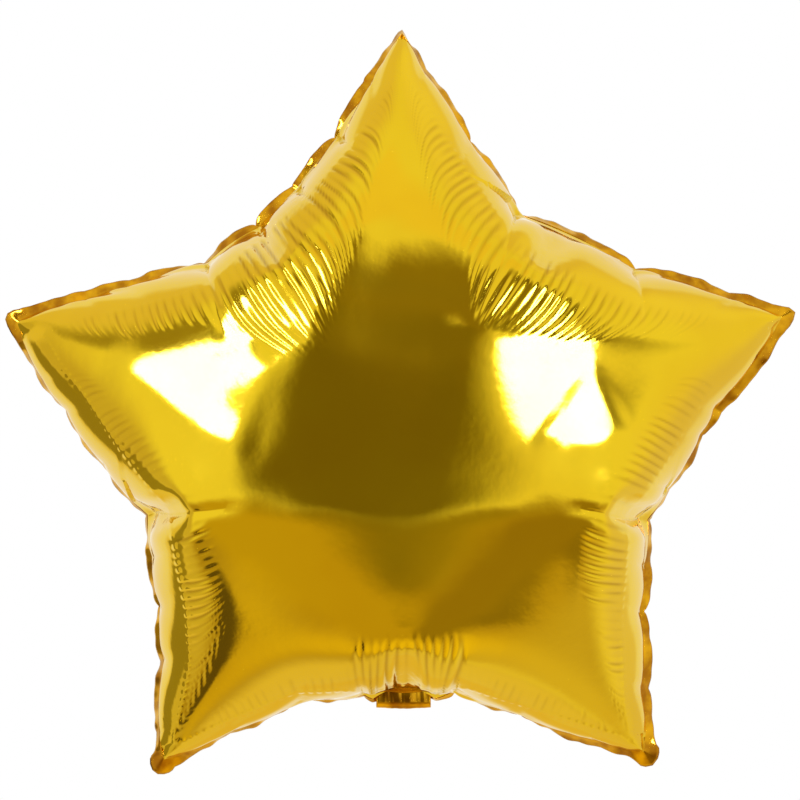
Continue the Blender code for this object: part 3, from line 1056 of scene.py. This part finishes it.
border = {
    "width": 0.0064,
    # directions where it has folded in
    "breaks": (90.2, 102.5, 125.0, 139.2, 163.5, 175.4, 197.1, 215.0, 233.4, 248.8, 261.3, 281.4, 293.0,
               307.3, 323.4, 341.1, 360.4, 377.5, 395.4, 422.8, 437.6, 450.2),
    "breakWidth": 0.35,      # share of the width that is left there
    "tipWidth": 0.0036,      # more at the tips, where the film is left over
    "tipReach": 0.009,
    "halfThickness": 0.00012,
    "ripple": 0.00040,
    "waves": ((0.0093, 0.35, 1.7), (0.0147, 0.7, 4.0), (0.0243, 1.0, 2.2), (0.0410, 0.9, 5.1)),
    "tipRipple": 1.6,
    "leastShowing": 0.30,    # it isn't folded back further than this
    "fullness": 0.45,        # a lower power makes each bow squarer
    "rippleStart": 1.4,      # power with which the ripples grow outward
    "rows": (-0.2, *(k / 6 for k in range(7))),  # across its width; the first lies inside the bag
}


def addBorder(bag, grid, seamLine, material):
    # The strip where both films are sealed. It leans back from the seam, more in some places than in others.
    columnPlaces, length = outlinePlaces(bag["outline"], grid["columns"])
    ends = nodePlaces(bag)
    showing = np.interp(columnPlaces, ends, np.r_[nodeShowing, nodeShowing[0]])
    showing = np.maximum(showing, border["leastShowing"])
    breaks = np.interp(border["breaks"], ringAngles, ends)
    _, share = between(breaks, columnPlaces)
    bow = np.clip(4 * share * (1 - share), 0, 1) ** border["fullness"]
    bow = border["breakWidth"] + (1 - border["breakWidth"]) * bow
    tips = ends[[k for k, kind in enumerate(nodeKinds) if kind == "tip"]]
    toTip = np.abs((columnPlaces[:, None] - tips[None] + length / 2) % length - length / 2).min(axis=1)
    atTip = np.exp(-(toTip / border["tipReach"]) ** 2)
    width = border["width"] * np.maximum(bow, atTip) + border["tipWidth"] * atTip
    ahead = unit(np.roll(seamLine, -3, axis=0) - np.roll(seamLine, 3, axis=0))
    out = unit(np.c_[ahead[:, 2], 0 * ahead[:, 0], -ahead[:, 0]])
    out = out * showing[:, None] + np.array([0, 1, 0]) * np.sqrt(1 - showing ** 2)[:, None]
    face = unit(np.cross(ahead, out))
    run = distances(seamLine)
    wave = sum(height * np.sin(run * 2 * math.pi / pitch + phase) for pitch, height, phase in border["waves"])
    wave *= border["ripple"] * (1 + border["tipRipple"] * atTip)
    rows = []
    for grow in border["rows"]:
        strength = max(0.0, grow) ** border["rippleStart"]
        rows.append(seamLine + out * (width * grow)[:, None] + face * (wave * strength)[:, None])
    front = np.array(rows)
    thick = face[None] * border["halfThickness"]
    sheets = np.concatenate([front - thick, (front + thick)[::-1]])
    faces = ringFaces(len(sheets), len(seamLine), close=True)
    addClosed("weld_border", sheets.reshape(-1, 3), faces, material)


# The tail: both films run on below the neck with the filling channel between them, and fold back

tail = {
    "width": 0.031,
    "rootDrop": 0.1400,    # below the middle of the star, inside the film's edge
    "foldDrop": 0.1508,    # where the fold starts
    "foldRadius": 0.0036,
    "foldSteps": 12,
    "slope": 14.25,        # degrees, up towards the back
    "flatLength": 0.045,
    "halfThickness": 0.00022,
    "edgeThinning": 0.8,
    "channelWidth": 0.017,
    "channelRise": 0.00045,
    "weldStitch": 0.0009,  # pitch of the grooves that the sealing bar left along both sides
    "weldDepth": 0.00003,
    "crumple": 0.00012,
    "rootCrumple": 0.00030,
    "rootReach": 0.016,
    "crumples": 9,         # waves across the strip, from this pitch up in these steps
    "crumplePitch": 0.0026,
    "crumpleStep": 0.0011,
    "crumpleTurn": 60,     # how fast they drift sideways down the strip
    "slitDepth": 0.009,    # of the filling slit between both films at the end
    "slitInset": 0.0035,
    "slitThin": 0.55,
    "steps": 150,
    "across": 72,
    "seed": 5,
}


def tailLine():
    # Points down the middle of the tail as (y, z) seen from the star's middle, and their directions
    radius, drop = tail["foldRadius"], tail["foldDrop"]
    turnTotal = math.radians(180 - (90 - tail["slope"]))
    line = [(0.0, -tail["rootDrop"]), (0.0, -drop)]
    for k in range(1, tail["foldSteps"] + 1):
        turn = turnTotal * k / tail["foldSteps"]
        line.append((radius * (1 - math.cos(turn)), -drop - radius * math.sin(turn)))
    heading = polar(tail["slope"], 1)
    line.append(tuple(line[-1][k] + heading[k] * tail["flatLength"] for k in range(2)))
    line = np.array(line)
    ticks = np.linspace(0, distances(line)[-1], tail["steps"])
    spots = pointsAlong(line, ticks)
    return spots, unit(np.gradient(spots, axis=0)), ticks


def addTail(material):
    spots, ahead, ticks = tailLine()
    half = tail["across"] // 2
    sides = np.linspace(-1, 1, half)
    loop = np.r_[sides, sides[::-1]]
    face = np.r_[np.ones(half), -np.ones(half)]
    number = np.arange(tail["crumples"])
    phases = np.random.default_rng(tail["seed"]).uniform(0, 2 * math.pi, len(number))
    pitches = tail["crumplePitch"] + tail["crumpleStep"] * number
    drifts = tail["crumpleTurn"] * (number - len(number) // 2)

    def ring(k, inset, thin):
        # one closed loop across the strip; inset narrows it for the inside of the filling slit
        across = loop * (tail["width"] / 2 - inset)
        channel = np.exp(-(across / (tail["channelWidth"] / 2)) ** 4)
        crumple = np.sin(across[:, None] * 2 * math.pi / pitches + phases + ticks[k] * drifts).mean(axis=1)
        root = math.exp(-ticks[k] / tail["rootReach"])
        weld = (1 - channel) * np.sin(ticks[k] * 2 * math.pi / tail["weldStitch"]) * tail["weldDepth"]
        puff = tail["halfThickness"] * (1 - tail["edgeThinning"] * np.abs(loop) ** 8)
        puff += tail["channelRise"] * channel
        sway = crumple * (tail["crumple"] + tail["rootCrumple"] * root)
        height = face * (puff + weld) * thin + sway
        side = np.array([-ahead[k][1], ahead[k][0]])
        return np.c_[across, spots[k][0] + side[0] * height, spots[k][1] + side[1] * height]

    rings = [ring(k, 0.0, 1.0) for k in range(len(ticks))]
    last = len(ticks) - 1
    depthSteps = int(tail["slitDepth"] / (ticks[1] - ticks[0]))
    for k in range(last, last - depthSteps, -1):
        rings.append(ring(k, tail["slitInset"], tail["slitThin"]))
    count = len(loop)
    faces = ringFaces(len(rings), count)
    index = np.arange(count)
    faces += [index[::-1].tolist(), (index + (len(rings) - 1) * count).tolist()]
    addClosed("tail_strip", np.concatenate(rings), faces, material)


addCamera()
addWorld()
addFloor()
addLamps()
addTent()
print("studio ready")
bag = fillBag()
evenOut(bag)
fitOutline(bag)
grid = fineGrid(bag)
flat = grid["points"]
grid["depth"] = flatDepth(bag, flat)
fit = localFit(bag["flat"], flat, film["knot"])
columnPlaces, seamLength = outlinePlaces(bag["outline"], grid["columns"])
inPlane = seamTarget(bag, columnPlaces)
turns = columnPlaces / seamLength * 2 * math.pi
sway = sum(height * np.sin(times * turns + start) for times, height, start in film["swayWaves"])
seamLine = np.c_[inPlane[:, 0], sway * film["sway"], inPlane[:, 1]]
material = goldFilm("goldFilm", "film")
# the border and the tail use the film painted darker amber, a painted reflection
paintedDarkWeldMaterial = goldFilm("weldedFilmPaintedDark", "border")
tree = gatherTree()
for name, seed, flip in (("front", 1.0, False), ("back", 11.0, True)):
    places = makeSurface(bag, grid, fit, name, seamLine)
    data = gatherField(places)
    addFilm(name + "_film", places, grid["faces"], flat, data, tree, material, seed, flip)
addBorder(bag, grid, seamLine, paintedDarkWeldMaterial)
addTail(paintedDarkWeldMaterial)
bpy.context.scene.view_settings.view_transform = "Standard"
